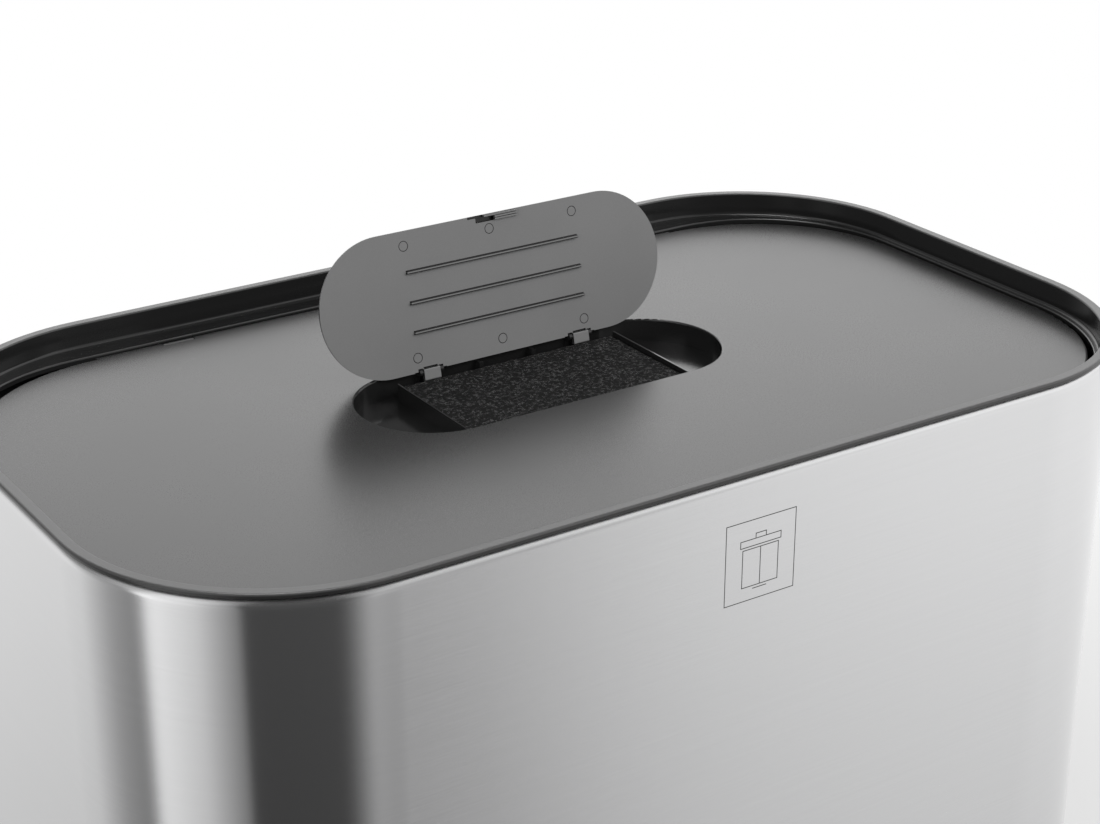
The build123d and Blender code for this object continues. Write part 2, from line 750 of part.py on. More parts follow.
# Lift rod with the yoke around the crank pin, the foot on the lever and the damper rod
def build_lift_rod():
    foot_low = rod_foot_centre()
    yoke_low = crank_z - yoke_half_height
    yoke = block(span(0, yoke_half_thickness), span(rod_y, yoke_slot_half + yoke_end_wall),
                 span(crank_z, yoke_half_height))
    yoke = fillet(yoke.edges().filter_by(Axis.X), yoke_round)
    yoke -= block(span(0, 2 * yoke_half_thickness), span(rod_y, yoke_slot_half),
                  span(crank_z, crank_pin_radius + yoke_slot_slack_z))
    stem_z = (yoke_low - yoke_stem_length, yoke_low + weld)
    yoke += bar_z(0, rod_y, stem_z, yoke_stem_radius) & block(
        span(0, yoke_half_thickness), span(rod_y, yoke_stem_radius), stem_z)
    rod_top = yoke_low - yoke_stem_roof
    yoke -= bar_z(0, rod_y, (stem_z[0] - cut_over, rod_top + fit_gap), rod_radius + fit_gap)
    foot = bar_z(0, rod_y, (foot_low, foot_low + rod_foot_length), rod_foot_radius)
    foot += Pos(0, rod_y, foot_low) * Sphere(rod_foot_radius)
    rod_low = foot_low + rod_foot_floor
    foot -= bar_z(0, rod_y, (rod_low - fit_gap, foot_low + rod_foot_length + cut_over),
                  rod_radius + fit_gap)
    arm = block((-rod_radius - damper_arm_end, damper_x + damper_rod_radius + damper_arm_end),
                span(rod_y, damper_arm_half_depth),
                (damper_arm_z, damper_arm_z + damper_arm_height))
    arm = fillet(arm.edges().filter_by(Axis.Z), damper_arm_round)
    through = (damper_arm_z - cut_over, damper_arm_z + damper_arm_height + cut_over)
    arm -= bar_z(0, rod_y, through, rod_radius + fit_gap)
    arm -= bar_z(damper_x, rod_y, through, damper_rod_radius + fit_gap)
    piston_low = damper_bottom + damper_cap + damper_piston_rise
    piston = bar_z(damper_x, rod_y, (damper_arm_z - damper_rod_below_arm, piston_low + weld),
                   damper_rod_radius)
    piston += bar_z(damper_x, rod_y, (piston_low, piston_low + damper_piston_height),
                    damper_radius - damper_wall - slide_gap)
    nodes["lift_rod"] = [bar_z(0, rod_y, (rod_low, rod_top), rod_radius)]
    nodes["rod_yoke"] = [yoke]
    nodes["rod_foot"] = [foot]
    nodes["damper_arm"] = [arm]
    nodes["damper_rod"] = [piston]


# Damper cylinder with its clips, and the guides of the lift rod
def build_damper():
    top = damper_bottom + damper_length
    cylinder = bar_z(damper_x, rod_y, (damper_bottom, top), damper_radius)
    cylinder -= bar_z(damper_x, rod_y, (damper_bottom + damper_cap, top - damper_cap),
                      damper_radius - damper_wall)
    cylinder -= bar_z(damper_x, rod_y, (damper_bottom - cut_over, damper_bottom + damper_cap
                                        + cut_over), damper_rod_radius + slide_gap)
    clips = []
    for rise in damper_clip_rises:
        z = damper_bottom + rise
        heights = (z, z + damper_clip_height)
        clip = bar_z(damper_x, rod_y, heights, damper_radius + damper_clip_wall)
        clip += block(span(damper_x, damper_radius), (cover_back, rod_y), heights)
        clip -= bar_z(damper_x, rod_y, (z - cut_over, z + damper_clip_height + cut_over),
                      damper_radius + fit_gap)
        clips.append(clip)
    guides = []
    for z in (guide_low_z, cover_top - guide_below_cover):
        guide = block(span(0, guide_half_width), (cover_back, rod_y + guide_half_width),
                      (z, z + guide_height))
        guide = fillet(guide.edges().filter_by(Axis.Z).sort_by(Axis.Y)[-2:], guide_round)
        guides.append(guide - bar_z(0, rod_y, span(z, 2 * guide_height), rod_radius
                                    + slide_gap))
    nodes["damper_cylinder"] = [cylinder]
    nodes["damper_clips"] = clips
    nodes["rod_guides"] = guides


# Cover in front of the mechanism, with a ledge over it
def build_cover():
    front = block(span(0, body_width), (cover_front, cover_back), (deck_top, cover_top))
    ledge = block(span(0, body_width), (cover_front, body_depth),
                  (cover_top - cover_wall, cover_top))
    cover = (front + ledge) & prism(outline(cover_side_inset), deck_top, cover_top)
    cover -= bar_z(0, rod_y, (cover_top - cover_wall - cut_over, cover_top + cut_over),
                   cover_ledge_hole)
    nodes["mechanism_cover"] = [cover]


def rod_foot_centre():
    """Height of the ball of the rod's foot, just clear of the lever at rest."""
    reach = lever_thickness / 2 + rod_foot_radius + rod_foot_gap
    drop = lever_rear_reach * sin(radians(lever_swing))
    return pedal_pivot_z + (reach - drop) / cos(radians(lever_swing))


# Pedal lever with its pad, grips, screws, axle, bushes and clips
def build_pedal():
    half = lever_thickness / 2
    lever = block(span(0, lever_half_width), (-lever_front_reach, lever_rear_reach),
                  span(0, half))
    lever += bar_z(0, lever_rear_reach, span(0, half), lever_half_width)
    lever += bar_x(span(0, lever_hub_half_width), 0, 0, lever_hub_radius)
    lever -= bar_x(span(0, 2 * lever_hub_half_width), 0, 0, axle_radius + fit_gap)
    pad = block(span(0, pad_half_width), (-pad_front_reach, -pad_back_reach),
                (half, half + pad_thickness))
    pad = fillet(pad.edges().filter_by(Axis.Z), pad_corner)
    pad = round_top(pad, pad_round)
    pad_top = half + pad_thickness
    grips = []
    pitch = (pad_front_reach - pad_back_reach) / (pad_grip_count + 1)
    for index in range(pad_grip_count):
        y = -pad_front_reach + pitch * (index + 1)
        plan = stadium(pad_grip_length, pad_grip_width, y)
        pad -= prism(plan, pad_top - pad_grip_depth, pad_top + cut_over)
        grips.append(prism(plan, pad_top - pad_grip_depth, pad_top + pad_grip_proud))
    screws = []
    for y in pad_screw_y:
        lever -= bar_z(0, y, span(0, 2 * half), pad_screw_radius + fit_gap)
        pad -= bar_z(0, y, (half - cut_over, half + pad_thickness / 2),
                     pad_screw_radius + fit_gap)
        screw = bar_z(0, y, (-half - pad_screw_head, -half), pad_screw_head_radius)
        screw += bar_z(0, y, (-half - weld, half + pad_thickness / 2 - pad_screw_spare),
                       pad_screw_radius)
        screws.append(screw)
    at_rest = Pos(0, pedal_pivot_y, pedal_pivot_z) * Rot(-lever_swing, 0, 0)
    nodes["pedal_lever"] = [at_rest * lever]
    nodes["pedal_pad"] = [at_rest * pad]
    nodes["pedal_grips"] = [at_rest * grip for grip in grips]
    nodes["pedal_screws"] = [at_rest * screw for screw in screws]
    bush = bar_x((lever_hub_half_width + bush_side_gap, bearing_inner - bush_side_gap),
                 pedal_pivot_y, pedal_pivot_z, bush_radius)
    bush -= bar_x(span(0, 2 * bearing_inner), pedal_pivot_y, pedal_pivot_z,
                  axle_radius + fit_gap)
    clip_in = bearing_inner + bearing_wall + bush_side_gap
    clip = bar_x((clip_in, clip_in + axle_clip_thickness), pedal_pivot_y, pedal_pivot_z,
                 axle_clip_radius)
    clip -= bar_x(span(0, 2 * clip_in), pedal_pivot_y, pedal_pivot_z, axle_radius + press_gap)
    nodes["pedal_bushes"] = both_sides(bush)
    nodes["axle_clips"] = both_sides(clip)
    nodes["pedal_axle"] = [bar_x(span(0, axle_half_length), pedal_pivot_y, pedal_pivot_z,
                                 axle_radius)]


def bucket_plan(inset):
    """Plan of the right bucket, moved inwards from the outer edge of its rim."""
    width = bucket_outer_x - bucket_inner_x - 2 * inset
    depth = bucket_back - bucket_front - 2 * inset
    middle_x = (bucket_outer_x + bucket_inner_x) / 2
    middle_y = (bucket_back + bucket_front) / 2
    plan = Pos(middle_x, middle_y) * Rectangle(width, depth)
    plan = fillet(plan.vertices().group_by(Axis.X)[-1], bucket_outer_corner - inset)
    return fillet(plan.vertices().group_by(Axis.X)[0], bucket_inner_corner - inset)


# Inner buckets, each with a rim, two ears with stubs, a bail handle and a grip
def build_buckets():
    low = deck_top + bucket_seat_gap
    wall_inset = bucket_rim
    foot_inset = bucket_rim + bucket_draft
    bucket = loft([Pos(0, 0, low) * bucket_plan(foot_inset),
                   Pos(0, 0, bucket_top) * bucket_plan(wall_inset)], ruled=True)
    bucket += prism(bucket_plan(0), bucket_top - bucket_rim_height, bucket_top)
    bucket -= loft([Pos(0, 0, low + bucket_floor) * bucket_plan(foot_inset + bucket_wall),
                    Pos(0, 0, bucket_top + fit_gap) * bucket_plan(wall_inset + bucket_wall)],
                   ruled=True)
    pivot_z = bucket_top + handle_pivot_rise
    inner = bucket_inner_x
    outer = bucket_outer_x
    stub_reach = handle_inset + handle_width
    for edge, into in ((outer, -1), (inner, 1)):
        plate_x = sorted((edge, edge + into * handle_ear_plate))
        bucket += block(plate_x, span(handle_pivot_y, handle_ear_half_depth),
                        (bucket_top - bucket_rim_height, bucket_top + handle_ear_height))
        bucket += bar_x(sorted((edge + into * weld, edge + into * stub_reach)), handle_pivot_y,
                        pivot_z, handle_stub_radius)
    strap_low = bucket_top + handle_rim_gap
    strap_top = strap_low + handle_height
    strap = prism(bucket_plan(handle_inset) - bucket_plan(stub_reach), strap_low, strap_top)
    strap &= block((inner, outer), (bucket_front, handle_pivot_y), (strap_low, strap_top))
    for edge, into in ((outer, -1), (inner, 1)):
        eye_x = sorted((edge + into * handle_inset, edge + into * stub_reach))
        strap += bar_x(eye_x, handle_pivot_y, pivot_z, handle_eye_radius)
        strap -= bar_x(sorted((edge, edge + into * (stub_reach + cut_over))), handle_pivot_y,
                       pivot_z, handle_stub_radius + slide_gap)
    run_left = inner + bucket_inner_corner
    run_right = outer - bucket_outer_corner
    strap_front = bucket_front + handle_inset
    grip = block(span((run_left + run_right) / 2, grip_length / 2),
                 (strap_front - grip_wall, strap_front + handle_width + grip_wall),
                 (strap_low, strap_top + grip_roof))
    grip = fillet(grip.edges().filter_by(Axis.X).sort_by(Axis.Z)[-2:], grip_round)
    grip -= block(span(0, body_width), (strap_front - fit_gap, strap_front + handle_width
                                        + fit_gap), (strap_low - cut_over, strap_top + fit_gap))
    for name, solid in (("inner_bucket", bucket), ("bucket_handle", strap),
                        ("handle_grip", grip)):
        right, left = both_sides(solid)
        nodes[name + "_right"] = [right]
        nodes[name + "_left"] = [left]


build_base()
build_shell()
build_surround()
build_deck()
build_collar()
build_lid()
build_filter_pad()
build_flap()
build_lift_rod()
build_damper()
build_cover()
build_pedal()
build_buckets()

# The whole bin moves so that the origin is the bottom centre of its box
boxes = [solid.bounding_box() for solids in nodes.values() for solid in solids]
middle_y = (min(box.min.Y for box in boxes) + max(box.max.Y for box in boxes)) / 2
os.makedirs("parts", exist_ok=True)
for name, solids in nodes.items():
    moved = [Pos(0, -middle_y, 0) * solid for solid in solids]
    shape = moved[0] if len(moved) == 1 else Compound(children=moved)
    export_step(shape, "parts/" + name + ".step")

print("shift along Y", round(-middle_y, 4))
print("lid hinge", round(hinge_y - middle_y, 4), round(hinge_z, 4))
print("flap pivot", round(flap_pivot_y - middle_y, 4), round(flap_pivot_z, 4))
print("pedal pivot", round(pedal_pivot_y - middle_y, 4), pedal_pivot_z)
print("handle pivot", round(handle_pivot_y - middle_y, 4), bucket_top + handle_pivot_rise)
print("lift travel", round(lift_travel, 4), "lever turn", round(2 * lever_swing, 4))
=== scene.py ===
import json
import math

import bmesh
import bpy
from mathutils import Euler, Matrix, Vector, noise


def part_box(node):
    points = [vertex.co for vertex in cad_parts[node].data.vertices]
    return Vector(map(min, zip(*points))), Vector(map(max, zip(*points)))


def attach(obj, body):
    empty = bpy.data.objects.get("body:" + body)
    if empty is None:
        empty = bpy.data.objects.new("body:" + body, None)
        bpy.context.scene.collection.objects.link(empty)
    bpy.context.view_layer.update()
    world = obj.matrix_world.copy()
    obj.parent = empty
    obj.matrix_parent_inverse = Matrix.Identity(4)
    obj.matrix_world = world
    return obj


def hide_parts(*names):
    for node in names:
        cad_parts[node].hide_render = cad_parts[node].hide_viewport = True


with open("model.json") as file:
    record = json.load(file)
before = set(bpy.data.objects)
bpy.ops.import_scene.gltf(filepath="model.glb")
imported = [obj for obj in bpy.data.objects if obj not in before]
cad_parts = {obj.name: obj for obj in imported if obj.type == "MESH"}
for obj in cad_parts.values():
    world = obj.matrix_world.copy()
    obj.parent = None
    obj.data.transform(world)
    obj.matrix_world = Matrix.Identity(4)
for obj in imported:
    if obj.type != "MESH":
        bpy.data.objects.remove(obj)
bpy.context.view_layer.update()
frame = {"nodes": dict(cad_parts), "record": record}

MM_IN_METRE = 1000
QUARTER_TURN = math.radians(90)

# Camera of the photo: place in metres, angles in degrees, width and focal length in pixels
FRAME_WIDTH = 1100
FOCAL_PIXELS = 2285.08
SENSOR_WIDTH = 36.0
CAMERA_PLACE = (-0.515141, -0.761363, 0.979166)
CAMERA_PITCH = 23.511
CAMERA_YAW = 33.324

# White floor, in metres; seen by the camera it fades out between two distances
FLOOR_RADIUS = 1.7
FLOOR_SIDES = 128
FLOOR_FADE = (0.45, FLOOR_RADIUS * 0.95)
FLOOR_COLOUR = 0.80
# Brightness behind the floor, and of the even light from all round
BACKDROP_LEVEL = 1.0
AMBIENT_LEVEL = 0.62
# Soft boxes: place, width and power, and the place they all face
SOFTBOXES = {
    "key_softbox": ((1.3, -1.7, 2.1), 1.6, 40.0),
    "fill_softbox": ((-1.6, -1.0, 1.5), 1.4, 12.0),
}
SOFTBOX_TARGET = (0, 0, 0.4)

# What shiny surfaces see around them, below and above the horizon: degrees from the front
# towards the left, brightness
FLOOR_AROUND = [(-180, 1.0), (-100, 1.1), (-62, 1.15), (-45, 1.12), (-41, 1.08), (-38, 1.04),
                (-36, 0.98), (-33.5, 0.84), (-31, 0.61), (-29.5, 0.53), (-22, 0.54), (-13.5, 0.6),
                (-9.5, 0.43), (-5, 0.26), (-1, 0.14), (3, 0.1), (47, 0.09), (49.5, 0.33),
                (56, 0.52), (63, 0.74), (70, 0.98), (77, 1.1), (87, 1.27), (92, 1.36), (96, 1.2),
                (99, 0.6), (104, 0.35), (118, 0.5), (140, 1.0), (180, 1.0)]
WALLS_AROUND = [(-180, 1.75), (-160, 2.1), (-146, 2.25), (-120, 1.85), (-90, 1.35), (-60, 1.3),
                (-45, 1.35), (-41, 1.3), (-36, 1.2), (-33.5, 1.05), (-31, 0.78), (-29.5, 0.66),
                (-22, 0.67), (-13.5, 0.72), (-9.5, 0.52), (-5, 0.32), (-1, 0.18), (3, 0.12),
                (47, 0.12), (50, 0.4), (63, 0.9), (77, 1.2), (90, 1.2), (100, 0.6), (118, 0.45),
                (135, 0.28), (155, 0.3), (180, 1.8)]
# The floor's table turns into the walls' between these sines of the height above the horizon
HORIZON = (0.0, 0.3)
# Both are multiplied by a brightness that goes by the sine of the height
UPWARD = [(-1.0, 0.5), (-0.56, 0.74), (-0.49, 0.86), (-0.41, 1.0), (-0.3, 1.05), (-0.12, 1.05),
          (0.1, 1.0), (0.5, 1.0), (0.66, 0.75), (0.8, 0.6), (1.0, 0.6)]
# A ramp ends at 1, so the tables are held in their ramps as parts of this brightness
RAMP_TOP = 2.5
# Soft boxes that only shiny surfaces see: azimuth and height of the middle, radius of the even
# part and of the faded edge, all in degrees, and brightness
SOFTBOXES_SEEN = [(180, 84, 8, 16, 9.0)]


class Value:
    """A shader socket that takes part in Python expressions."""

    def __init__(self, finish, socket):
        self.finish = finish
        self.socket = socket

    def maths(self, operation, *operands):
        return self.finish.add("Math", {"operation": operation}, *operands).out()

    def __add__(self, other):
        return self.maths("ADD", self, other)

    __radd__ = __add__

    def __sub__(self, other):
        return self.maths("SUBTRACT", self, other)

    def __rsub__(self, other):
        return self.maths("SUBTRACT", other, self)

    def __mul__(self, other):
        return self.maths("MULTIPLY", self, other)

    __rmul__ = __mul__

    def __truediv__(self, other):
        return self.maths("DIVIDE", self, other)

    def __pow__(self, other):
        return self.maths("POWER", self, other)

    def __abs__(self):
        return self.maths("ABSOLUTE", self)

    def larger(self, other):
        return self.maths("MAXIMUM", self, other)

    def step(self, start, end):
        """0 before start and 1 after end, smooth between them."""
        node = self.finish.add("MapRange", {"interpolation_type": "SMOOTHSTEP"}, self, start, end,
                               0.0, 1.0)
        return node.out()

    def band(self, rise, fall):
        """0 before the rise, 1 between it and the fall, 0 after the fall."""
        return self.step(*rise) * (1.0 - self.step(*fall))


class Node:
    """A node that was added to a finish."""

    def __init__(self, finish, node):
        self.finish = finish
        self.node = node

    def out(self, name=0):
        return Value(self.finish, self.node.outputs[name])


class Finish:
    """The node tree of one material, or of the world."""

    def __init__(self, owner, shader, **constants):
        owner.use_nodes = True
        self.owner = owner
        self.tree = owner.node_tree
        self.tree.nodes.clear()
        self.shader = self.add(shader)
        self.constants(**constants)

    def add(self, kind, settings=None, *values, **named):
        node = self.tree.nodes.new("ShaderNode" + kind)
        settings = dict(settings or {})
        stops = settings.pop("stops", None)
        for key, value in settings.items():
            setattr(node, key, value)
        if stops:
            fill_ramp(node.color_ramp, stops)
        sockets = [s for s in node.inputs if s.enabled]
        pairs = list(zip(sockets, values))
        pairs += [(node.inputs[name.replace("_", " ")], value) for name, value in named.items()]
        for socket, value in pairs:
            self.join(socket, value)
        return Node(self, node)

    def join(self, socket, value):
        """Links a value, or sets a constant; one number makes a grey."""
        if isinstance(value, Value):
            self.tree.links.new(value.socket, socket)
        elif hasattr(socket.default_value, "__len__") and not hasattr(value, "__len__"):
            socket.default_value = [value] * 3 + [1.0] * (len(socket.default_value) - 3)
        elif hasattr(value, "__len__") and len(value) < len(socket.default_value):
            socket.default_value = list(value) + [1.0]
        else:
            socket.default_value = value

    def constants(self, **values):
        for name, value in values.items():
            self.join(self.shader.node.inputs[name.replace("_", " ")], value)

    def place(self):
        """Object coordinates as a vector value."""
        return self.add("TexCoord").out("Object")

    def stretched(self, vector, scales):
        """A vector with each axis scaled."""
        return self.add("VectorMath", {"operation": "MULTIPLY"}, vector, scales).out()

    def axes(self, vector):
        node = self.add("SeparateXYZ", None, vector)
        return node.out("X"), node.out("Y"), node.out("Z")

    def noise(self, vector, scale, detail, roughness=0.5):
        node = self.add("TexNoise", None, Vector=vector, Scale=scale, Detail=detail,
                        Roughness=roughness)
        return node.out(0)

    def blend(self, factor, first, second):
        """Colour between two colours."""
        node = self.add("Mix", {"data_type": "RGBA"})
        self.join(node.node.inputs[0], factor)
        self.join(node.node.inputs[6], first)
        self.join(node.node.inputs[7], second)
        return node.out(2)

    def bump(self, height, distance, strength):
        node = self.add("Bump", None, Height=height, Distance=distance, Strength=strength)
        self.join(self.shader.node.inputs["Normal"], node.out())

    def close(self):
        output = "OutputWorld" if isinstance(self.owner, bpy.types.World) else "OutputMaterial"
        self.add(output, None, Surface=self.shader.out())
        return self.owner


def fill_ramp(ramp, stops):
    while len(ramp.elements) < len(stops):
        ramp.elements.new(0.5)
    for element, (position, level) in zip(ramp.elements, stops):
        element.position = position
        element.color = (level, level, level, 1.0)


def material(name, **constants):
    return Finish(bpy.data.materials.new(name), "BsdfPrincipled", **constants)


def varied(level, *parts):
    """A level that each part moves up and down: its amount, and its noise from 0 to 1."""
    for amount, value in parts:
        level = level + amount * (value - 0.5)
    return level


# Etched sign on the front, in millimetres: its middle X and, for each of its boxes and strokes,
# the middle Z, the half width and the half height
SIGN_X = 3.65
SIGN_BOXES = {
    "square round the sign": (560.65, 17.55, 17.85),
    "bin": (557.3, 9.0, 8.4),
    "wall between the compartments": (557.3, 0.0, 8.4),
    "lid": (568.4, 10.2, 1.5),
    "grip of the lid": (571.0, 2.6, 1.1),
    "pedal": (547.6, 3.4, 0.0),
}
# Half width of a stroke, from full to gone
SIGN_STROKE = (0.132, 0.264)
# Distance in metres from the middle of the bin to the front, where the sign shows
SIGN_FRONT = (0.12, 0.121)


def sign_mask(x, y, z):
    """1 on the etched lines of the sign."""
    mask = None
    for middle_z, half_x, half_z in SIGN_BOXES.values():
        away_x = abs(x * MM_IN_METRE - SIGN_X) - half_x
        away = away_x.larger(abs(z * MM_IN_METRE - middle_z) - half_z)
        line = 1.0 - abs(away).step(*SIGN_STROKE)
        mask = line if mask is None else mask.larger(line)
    return mask * (0.0 - y).step(*SIGN_FRONT)


# Brushed steel: noise stretched into fine and broad lines, its colour and that of the sign, and
# the heights in metres over which the rolled edge turns rougher
FINE_LINES = (9, 9, 4200)
BROAD_LINES = (1.5, 1.5, 420)
STEEL_COLOUR = (0.66, 0.66, 0.665)
ETCHED_TONE = 0.1
ROLLED_EDGE = (0.5945, 0.5975)


def brushed_steel_finish():
    finish = material("brushed_steel", Metallic=1.0, Anisotropic=0.5, Anisotropic_Rotation=0.25)
    place = finish.place()
    fine = finish.noise(finish.stretched(place, FINE_LINES), scale=1.0, detail=3.0, roughness=0.7)
    broad = finish.noise(finish.stretched(place, BROAD_LINES), scale=1.0, detail=2.0)
    smudge = finish.noise(place, scale=9.0, detail=3.0)
    x, y, z = finish.axes(place)
    etched = sign_mask(x, y, z)
    rolled = z.step(*ROLLED_EDGE)
    tone = varied(0.95, (0.07, fine), (0.02, broad))
    steel = finish.blend(tone, 0.0, STEEL_COLOUR)
    finish.constants(Base_Color=finish.blend(etched, steel, ETCHED_TONE),
                     Roughness=varied(0.14, (0.06, fine), (0.05, smudge)) + 0.4 * etched
                     + 0.2 * rolled)
    finish.bump(fine - etched, distance=0.00003, strength=0.5)
    return finish.close()


PLATED_DARK = (0.42, 0.42, 0.42)
PLATED_PALE = (0.6, 0.6, 0.59)


def plated_steel_finish():
    finish = material("plated_steel", Metallic=1.0)
    place = finish.place()
    cloud = finish.noise(place, scale=120.0, detail=3.0)
    finish.constants(Base_Color=finish.blend(cloud, PLATED_DARK, PLATED_PALE),
                     Roughness=0.28 + 0.16 * cloud)
    grain = finish.noise(place, scale=900.0, detail=2.0)
    finish.bump(grain, distance=0.00005, strength=0.4)
    return finish.close()


PAINT_DARK = (0.03, 0.03, 0.032)
PAINT_PALE = (0.045, 0.045, 0.047)


def damper_paint_finish():
    finish = material("damper_paint", Roughness=0.35, Coat_Weight=0.4, Coat_Roughness=0.2)
    place = finish.place()
    cloud = finish.noise(place, scale=60.0, detail=2.0)
    finish.constants(Base_Color=finish.blend(cloud, PAINT_DARK, PAINT_PALE))
    grain = finish.noise(place, scale=1500.0, detail=2.0)
    finish.bump(grain, distance=0.00005, strength=0.4)
    return finish.close()


# Moulded parts: darkest and palest tone, roughness, scale of the grain, its depth in metres, and
# how strongly they shine
MOULDED = {
    "anthracite_plastic": (0.010, 0.014, 0.28, 2600.0, 0.00002, 0.5),
    "black_plastic": (0.016, 0.024, 0.42, 1800.0, 0.00004, 0.5),
    "bucket_plastic": (0.13, 0.155, 0.45, 900.0, 0.00004, 0.5),
    "handle_plastic": (0.02, 0.03, 0.4, 1500.0, 0.00004, 0.5),
    "natural_nylon": (0.62, 0.7, 0.4, 1200.0, 0.00003, 0.5),
    "rubber": (0.014, 0.022, 0.75, 1600.0, 0.00006, 0.3),
}
CLOUD_SCALE = 14.0
CLOUD_SHARE = 0.7
GRAIN_SHARE = 0.3


def cloud_and_grain(finish, place, grain_scale):
    """Broad cloud and fine grain of a moulded surface, and the two together for its tone."""
    cloud = finish.noise(place, CLOUD_SCALE, detail=3.0)
    grain = finish.noise(place, grain_scale, detail=2.0, roughness=0.6)
    return cloud, grain, cloud * CLOUD_SHARE + grain * GRAIN_SHARE


def moulded_finish(name, low, high, roughness, grain_scale, grain_depth, specular):
    """Moulded plastic or rubber: a slight cloud in its tone and a fine grain."""
    finish = material(name, Specular_IOR_Level=specular)
    cloud, grain, tone = cloud_and_grain(finish, finish.place(), grain_scale)
    finish.constants(Base_Color=finish.blend(tone, low, high),
                     Roughness=varied(roughness, (0.06, cloud), (0.08, grain)))
    finish.bump(grain, grain_depth, strength=0.5)
    return finish.close()


# Lid and collar: each is grained in one place and polished in another, as darkest and palest
# tone and roughness
GRAINED = ((0.010, 0.014), 0.28)
POLISHED = ((0.010, 0.014), 0.15)
POLISHED_COLLAR = ((0.013, 0.017), 0.15)
GRAIN_SCALE = 2400.0
GRAIN_DEPTH = 0.00002
# Box around the filter well in the lid, and boxes around the hinge ears of the collar, each as
# a middle and half sizes in metres, and how far inside its faces a box fades
WELL_ZONE = ((0.0, 0.0285, 0.580), (0.0925, 0.0375, 0.00838))
EAR_ZONES = [((side * 0.120, 0.152, 0.586), (0.009, 0.0052, 0.004)) for side in (-1, 1)]
ZONE_FADE = 0.00002
# Heights in metres between which the collar's lip turns paler and rougher, and the paler tone: a
# painted highlight along the top of the lip
LIP_HEIGHTS = (0.5990, 0.5996)
LIP_HIGHLIGHT_TONE = 0.05


def zone_mask(finish, place, zones):
    """1 inside any of the boxes."""
    mask = None
    for middle, half in zones:
        away = None
        for value, centre, reach in zip(finish.axes(place), middle, half):
            beyond = abs(value - centre) - reach
            away = beyond if away is None else away.larger(beyond)
        inside = 1.0 - away.step(-ZONE_FADE, 0.0)
        mask = inside if mask is None else mask.larger(inside)
    return mask


def zoned_finish(name, outside, inside, zones, paint_lip_highlight=0.0):
    """Moulded plastic with another surface inside some boxes and, when its last argument is 1, a
    painted highlight: a paler, rougher band along the top of its lip.
    """
    tones, roughness = outside
    zone_tones, zone_roughness = inside
    finish = material(name)
    place = finish.place()
    mask = zone_mask(finish, place, zones)
    cloud, grain, tone = cloud_and_grain(finish, place, GRAIN_SCALE)
    # Painted highlight: the top of the collar's lip is made paler
    lip_highlight = finish.axes(place)[2].step(*LIP_HEIGHTS) * paint_lip_highlight
    colour = finish.blend(mask, finish.blend(tone, *tones), finish.blend(tone, *zone_tones))
    zoned = roughness + (zone_roughness - roughness) * mask + 0.2 * lip_highlight
    finish.constants(Base_Color=finish.blend(lip_highlight, colour, LIP_HIGHLIGHT_TONE),
                     Roughness=varied(zoned, (0.05, cloud), (0.06, grain)))
    finish.bump(grain, GRAIN_DEPTH, strength=0.5)
    return finish.close()


# Foam: scales of its cells and fibres, of its lumps, and of the patches where fibres show,
# with the noise from which those show
CELL_SCALE = 2600.0
LUMP_SCALE = 420.0
PATCH_SCALE = 560.0
PATCH_FADE = (0.5, 0.6)
FIBRE_WIDTH = (0.008, 0.04)
FIBRE_TONE = 0.36
CELL_TONES = (0.0015, 0.010)


def foam_finish():
    """Loose carbon foam: near black cells with paler fibres that run every way."""
    finish = material("filter_foam", Roughness=0.95, Specular_IOR_Level=0.2)
    place = finish.place()
    pattern = finish.add("TexVoronoi", {"feature": "F1"}, Vector=place, Scale=CELL_SCALE)
    cells = pattern.out("Distance")
    lumps = finish.noise(place, LUMP_SCALE, detail=4.0, roughness=0.7)
    wander = finish.noise(place, CELL_SCALE, detail=2.0, roughness=0.6)
    fibres = 1.0 - abs(wander - 0.5).step(*FIBRE_WIDTH)
    patches = finish.noise(place, PATCH_SCALE, detail=3.0, roughness=0.8)
    shown = patches.step(*PATCH_FADE)
    dark = finish.blend(cells, *CELL_TONES)
    finish.constants(Base_Color=finish.blend(fibres * shown, dark, FIBRE_TONE))
    finish.bump(lumps + 0.5 * cells + 0.4 * fibres * shown, distance=0.0009, strength=0.9)
    return finish.close()


# Filter flap: the angle at which it stands open and, in millimetres, the height of its inner face
# above the pivot, the heights that part its back and its recesses, the band of painted shade on
# the sides of its ribs and other raised parts below the tops of its ribs, the middle and half
# length of the ribs, their places along it, and a line of painted shade beside each of them. Then
# the tone of its back, which also paints that shade, and the range of its grained face, whose
# pale tone is a painted sheen: the grain is real, but the flap is black plastic that its texture
# makes look grey
FLAP_ANGLE = math.radians(102.4)
FLAP_INNER_FACE = 0.5
FLAP_BACK_END = (-0.14, -0.04)
FLAP_SIDE_SHADE_RISE = (0.08, 0.16)
FLAP_SIDE_SHADE_FALL = (0.95, 1.1)
FLAP_RIB_MIDDLE = 0.5
FLAP_RIB_END = (45.5, 45.8)
FLAP_RIBS = [18.6, 32.1, 46.0]
RIB_SHADE_RISE = (0.2, 0.35)
RIB_SHADE_FALL = (0.8, 1.05)
FLAP_BACK_AND_SHADE = 0.009
FLAP_GRAIN_AND_SHEEN = (0.125, 0.2)


